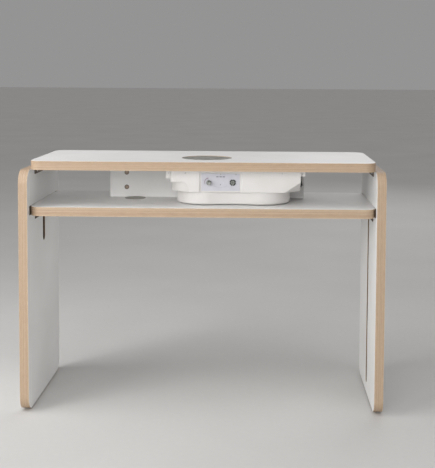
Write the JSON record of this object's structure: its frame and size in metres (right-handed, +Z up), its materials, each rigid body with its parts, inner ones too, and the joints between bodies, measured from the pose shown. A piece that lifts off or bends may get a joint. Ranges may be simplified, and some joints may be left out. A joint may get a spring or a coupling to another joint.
{
  "type": "work table with dust extractor",
  "caption": "Work table of laminated plywood boards with rounded side panels, a shelf and a two-lobed dust extractor hung under a round intake grille in the worktop.",
  "frame": {"origin": "on the floor, under the centre of the footprint", "axes": "+X along the table's width to the right as seen by the user in front, +Y to the back, +Z up"},
  "size_m": [1.1, 0.45, 0.767],
  "materials": {
    "plywood": "satin lacquered birch ply edge",
    "laminate": "fine matt white laminate",
    "bronze_metal": "dark bronze powder coat",
    "zinc_steel": "bright zinc plate",
    "grille_steel": "brushed stainless",
    "extractor_shell": "satin moulded white",
    "black_plastic": "satin black",
    "grommet_plastic": "matt dark grey",
    "fascia_film": "matt grey printed film",
    "knob_metal": "turned and anodised",
    "lamp_lens": "frosted",
    "circuit_laminate": "solder mask",
    "filter_fibre": "needled fibre",
    "foot_rubber": "matt"
  },
  "bodies": {
    "table": {"left_side_core": "plywood", "left_side_laminate": "laminate", "right_side_core": "plywood", "right_side_laminate": "laminate", "worktop_core": "plywood", "worktop_laminate": "laminate", "shelf_core": "plywood", "shelf_laminate": "laminate", "rear_panel_core": "plywood", "rear_panel_laminate": "laminate", "worktop_cleat_left": "bronze_metal", "worktop_cleat_right": "bronze_metal", "shelf_cleat_left": "bronze_metal", "shelf_cleat_right": "bronze_metal", "cleat_screws": "zinc_steel", "cam_locks": "bronze_metal", "cam_bolts": "zinc_steel", "grommet_ring": "grommet_plastic", "foot_inserts": "zinc_steel", "intake_collar": "extractor_shell", "extractor_housing": "extractor_shell", "extractor_tray": "extractor_shell", "housing_screws": "zinc_steel", "tray_screws": "zinc_steel", "control_fascia": "fascia_film", "potentiometer": "black_plastic", "socket_body": "zinc_steel", "socket_ring": "black_plastic", "indicator_lamp": "lamp_lens", "rocker_frame": "black_plastic", "circuit_board": "circuit_laminate", "power_module": "circuit_laminate", "power_inlet": "black_plastic", "inlet_pins": "zinc_steel", "fan_motor": "black_plastic", "motor_plate": "zinc_steel", "exhaust_grille": "extractor_shell"},
    "filter_insert": {"intake_grille": "grille_steel", "filter_cassette": "grommet_plastic", "filter_mat": "filter_fibre"},
    "knob": {"speed_knob": "knob_metal", "knob_shaft": "zinc_steel"},
    "rocker": {"rocker_switch": "black_plastic"},
    "fan": {"impeller": "black_plastic", "motor_shaft": "zinc_steel"},
    "lid": {"grommet_lid": "grommet_plastic"},
    "front_left_foot": {"foot_front_left": "foot_rubber"},
    "front_right_foot": {"foot_front_right": "foot_rubber"},
    "rear_left_foot": {"foot_rear_left": "foot_rubber"},
    "rear_right_foot": {"foot_rear_right": "foot_rubber"}
  },
  "joints": [
    {"name": "filter_lift", "type": "slide", "parent": "table", "child": "filter_insert", "axis": [0, 0, 1], "range_m": [0, 0.09]},
    {"name": "knob_turn", "type": "hinge", "parent": "table", "child": "knob", "pos_m": [0.017, -0.15, 0.7], "axis": [0, 1, 0], "range_deg": [0, 270]},
    {"name": "rocker_tilt", "type": "hinge", "parent": "table", "child": "rocker", "pos_m": [0.298, -0.103, 0.699], "axis": [0, 1, 0], "range_deg": [0, 16]},
    {"name": "fan_spin", "type": "hinge", "parent": "table", "child": "fan", "pos_m": [0.175, -0.045, 0.66], "axis": [0, 0, 1], "continuous": true},
    {"name": "lid_turn", "type": "hinge", "parent": "table", "child": "lid", "pos_m": [-0.231, 0.027, 0.628], "axis": [0, 0, 1], "continuous": true},
    {"name": "front_left_foot_height", "type": "slide", "parent": "table", "child": "front_left_foot", "axis": [0, 0, -1], "range_m": [0, 0.012]},
    {"name": "front_right_foot_height", "type": "slide", "parent": "table", "child": "front_right_foot", "axis": [0, 0, -1], "range_m": [0, 0.012]},
    {"name": "rear_left_foot_height", "type": "slide", "parent": "table", "child": "rear_left_foot", "axis": [0, 0, -1], "range_m": [0, 0.012]},
    {"name": "rear_right_foot_height", "type": "slide", "parent": "table", "child": "rear_right_foot", "axis": [0, 0, -1], "range_m": [0, 0.012]}
  ]
}
